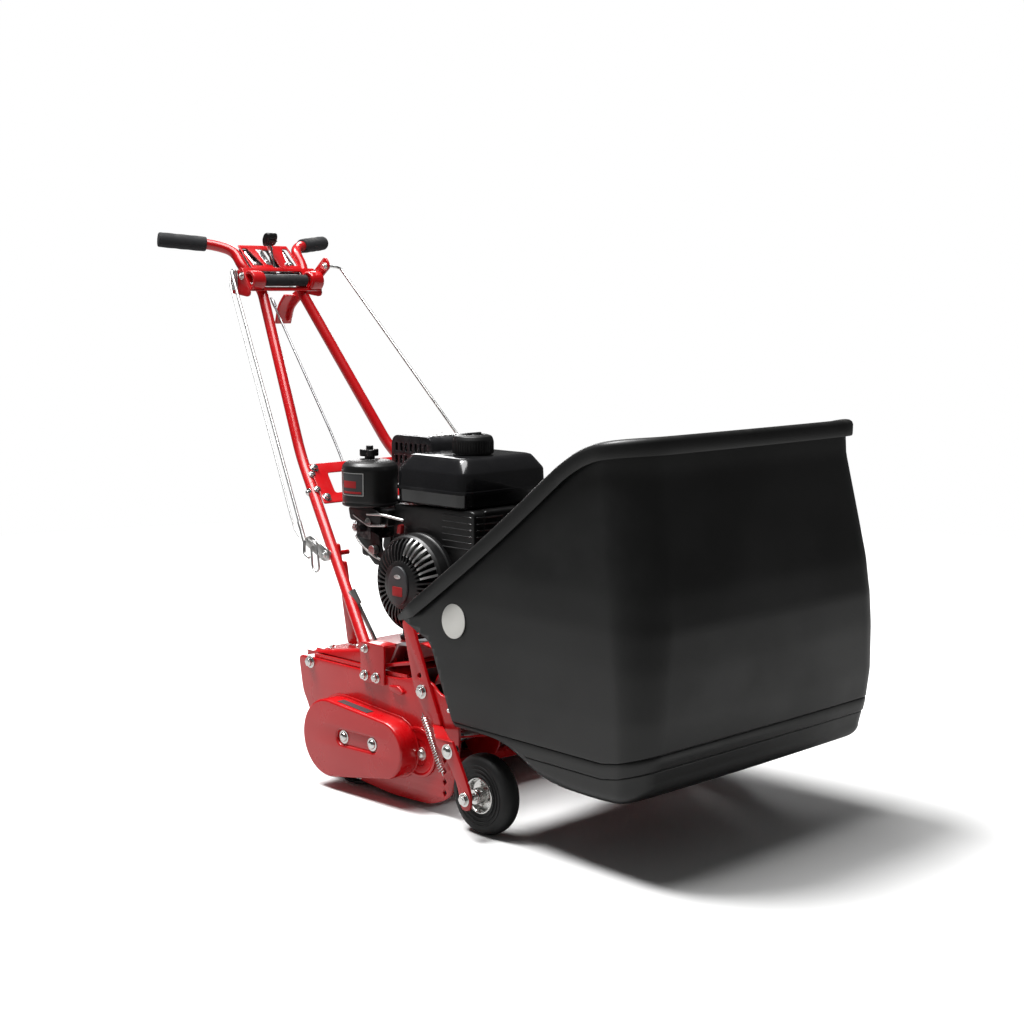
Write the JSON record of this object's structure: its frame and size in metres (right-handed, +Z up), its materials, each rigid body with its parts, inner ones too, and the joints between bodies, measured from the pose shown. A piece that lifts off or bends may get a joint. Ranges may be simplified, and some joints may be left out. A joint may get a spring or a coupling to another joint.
{
  "type": "reel mower",
  "caption": "Petrol reel mower with front grass catcher, red side plates, chain case, rear drum, front wheels on swinging arms, and a tube handle with clutch levers and grips.",
  "frame": {"origin": "on the ground under the middle of the whole machine's footprint", "axes": "-Y is the mowing direction, +Z up, +X to the operator's left as they stand behind the handle"},
  "size_m": [0.666, 1.4552, 1.0401],
  "materials": {
    "red_paint": "glossy bright red enamel",
    "steel": "bare machined steel",
    "drum_iron": "black painted steel",
    "zinc": "bright zinc plating",
    "engine_alloy": "black painted die-cast alloy",
    "black_cover": "satin black moulding",
    "black_gloss": "gloss black moulding",
    "rubber": "black rubber",
    "foam": "dark grey foam rubber",
    "catcher_plastic": "satin black moulded plastic, slightly textured"
  },
  "bodies": {
    "root": {"side_plate_right": "red_paint", "side_plate_left": "red_paint", "rear_tie_bar": "red_paint", "engine_deck": "red_paint", "front_shield": "red_paint", "bed_bar": "red_paint", "bed_knife": "steel", "reel_bearing_right": "steel", "reel_bearing_left": "steel", "chain_case": "red_paint", "reel_chain": "steel", "belt_guard": "black_cover", "drive_belt": "rubber", "engine_block": "engine_alloy", "blower_housing": "black_cover", "recoil_cover": "black_cover", "fuel_tank": "black_gloss", "carburetor": "engine_alloy", "air_cleaner": "black_cover", "muffler": "steel", "muffler_guard": "steel", "handle_tube_lower_right": "red_paint", "handle_tube_lower_left": "red_paint", "handle_tube_upper_right": "red_paint", "handle_tube_upper_left": "red_paint", "handle_cross_brace": "red_paint", "console": "red_paint", "grip_right": "foam", "grip_left": "foam", "handle_brace_right": "red_paint", "handle_brace_left": "red_paint", "throttle_cable": "rubber", "pivot_bolt_right": "zinc", "pivot_bolt_left": "zinc"},
    "drum": {"drum": "drum_iron", "drum_sprocket": "steel", "drum_pulley": "drum_iron"},
    "reel": {"reel_shaft": "steel", "reel_blades": "red_paint", "reel_sprocket": "steel"},
    "crank": {"crank_pulley": "steel"},
    "front_frame": {"wheel_arm_right": "red_paint", "wheel_arm_left": "red_paint", "catcher_rod": "zinc", "wheel_bolt_right": "zinc", "wheel_bolt_left": "zinc"},
    "wheel_right": {"hub_right": "zinc", "tyre_right": "rubber"},
    "wheel_left": {"hub_left": "zinc", "tyre_left": "rubber"},
    "catcher": {"catcher": "catcher_plastic"},
    "bail": {"bail": "foam"},
    "drive_rod": {"drive_rod": "zinc"},
    "bell_crank": {"bell_crank": "zinc"},
    "reel_lever": {"reel_clutch_lever": "red_paint"},
    "reel_rod": {"reel_rod": "zinc"},
    "idler_arm": {"idler_arm": "zinc"},
    "throttle": {"throttle_lever": "black_cover"},
    "fuel_cap": {"fuel_cap": "black_gloss"},
    "starter": {"starter_grip": "black_cover"}
  },
  "joints": [
    {"name": "drum_spin", "type": "hinge", "parent": "root", "child": "drum", "pos_m": [0, 0.0602, 0.1], "axis": [1, 0, 0], "continuous": true},
    {"name": "reel_spin", "type": "hinge", "parent": "root", "child": "reel", "pos_m": [0, -0.1188, 0.104], "axis": [1, 0, 0], "continuous": true},
    {"name": "crank_spin", "type": "hinge", "parent": "root", "child": "crank", "pos_m": [0.182, 0.0222, 0.371], "axis": [1, 0, 0], "continuous": true},
    {"name": "height_adjust", "type": "hinge", "parent": "root", "child": "front_frame", "pos_m": [0, -0.1648, 0.218], "axis": [1, 0, 0], "range_deg": [0, 8]},
    {"name": "wheel_spin_right", "type": "hinge", "parent": "front_frame", "child": "wheel_right", "pos_m": [-0.275, -0.3348, 0.07], "axis": [1, 0, 0], "continuous": true},
    {"name": "wheel_spin_left", "type": "hinge", "parent": "front_frame", "child": "wheel_left", "pos_m": [0.275, -0.3348, 0.07], "axis": [1, 0, 0], "continuous": true},
    {"name": "catcher_lift", "type": "slide", "parent": "root", "child": "catcher", "axis": [0, -0.8, 0.6], "range_m": [0, 0.3]},
    {"name": "bail_lift", "type": "hinge", "parent": "root", "child": "bail", "pos_m": [0, 0.6102, 0.93], "axis": [1, 0, 0], "range_deg": [-15, 0]},
    {"name": "drive_rod_swing", "type": "hinge", "parent": "bail", "child": "drive_rod", "pos_m": [-0.108, 0.6102, 0.958], "axis": [1, 0, 0], "range_deg": [-0.5, 14.4]},
    {"name": "bell_crank_turn", "type": "hinge", "parent": "root", "child": "bell_crank", "pos_m": [-0.205, 0.1832, 0.417], "axis": [1, 0, 0], "range_deg": [-0.5, 7.2]},
    {"name": "reel_lever_turn", "type": "hinge", "parent": "root", "child": "reel_lever", "pos_m": [0.1, 0.6102, 0.93], "axis": [1, 0, 0], "range_deg": [0, 18]},
    {"name": "reel_rod_swing", "type": "hinge", "parent": "reel_lever", "child": "reel_rod", "pos_m": [0.122, 0.5522, 0.971], "axis": [1, 0, 0], "range_deg": [-18.6, 0.5]},
    {"name": "idler_arm_turn", "type": "hinge", "parent": "root", "child": "idler_arm", "pos_m": [0.215, 0.0032, 0.302], "axis": [1, 0, 0], "range_deg": [-0.5, 25.3]},
    {"name": "throttle_turn", "type": "hinge", "parent": "root", "child": "throttle", "pos_m": [0, 0.6052, 0.95], "axis": [1, 0, 0], "range_deg": [-6, 14]},
    {"name": "fuel_cap_turn", "type": "hinge", "parent": "root", "child": "fuel_cap", "pos_m": [-0.01, -0.0228, 0.6124], "axis": [0, 0, 1], "range_deg": [0, 120]},
    {"name": "starter_pull", "type": "slide", "parent": "root", "child": "starter", "axis": [0, -0.6, 0.8], "range_m": [0, 0.35], "stiffness_N_per_m": 20}
  ],
  "couplings": [
    {"joint": "reel_spin", "follows": "drum_spin", "ratio": 3},
    {"joint": "drive_rod_swing", "follows": "bail_lift", "ratio": -0.9255},
    {"joint": "bell_crank_turn", "follows": "bail_lift", "ratio": -0.4463},
    {"joint": "reel_rod_swing", "follows": "reel_lever_turn", "ratio": -1.0046},
    {"joint": "idler_arm_turn", "follows": "reel_lever_turn", "ratio": 1.3777}
  ]
}
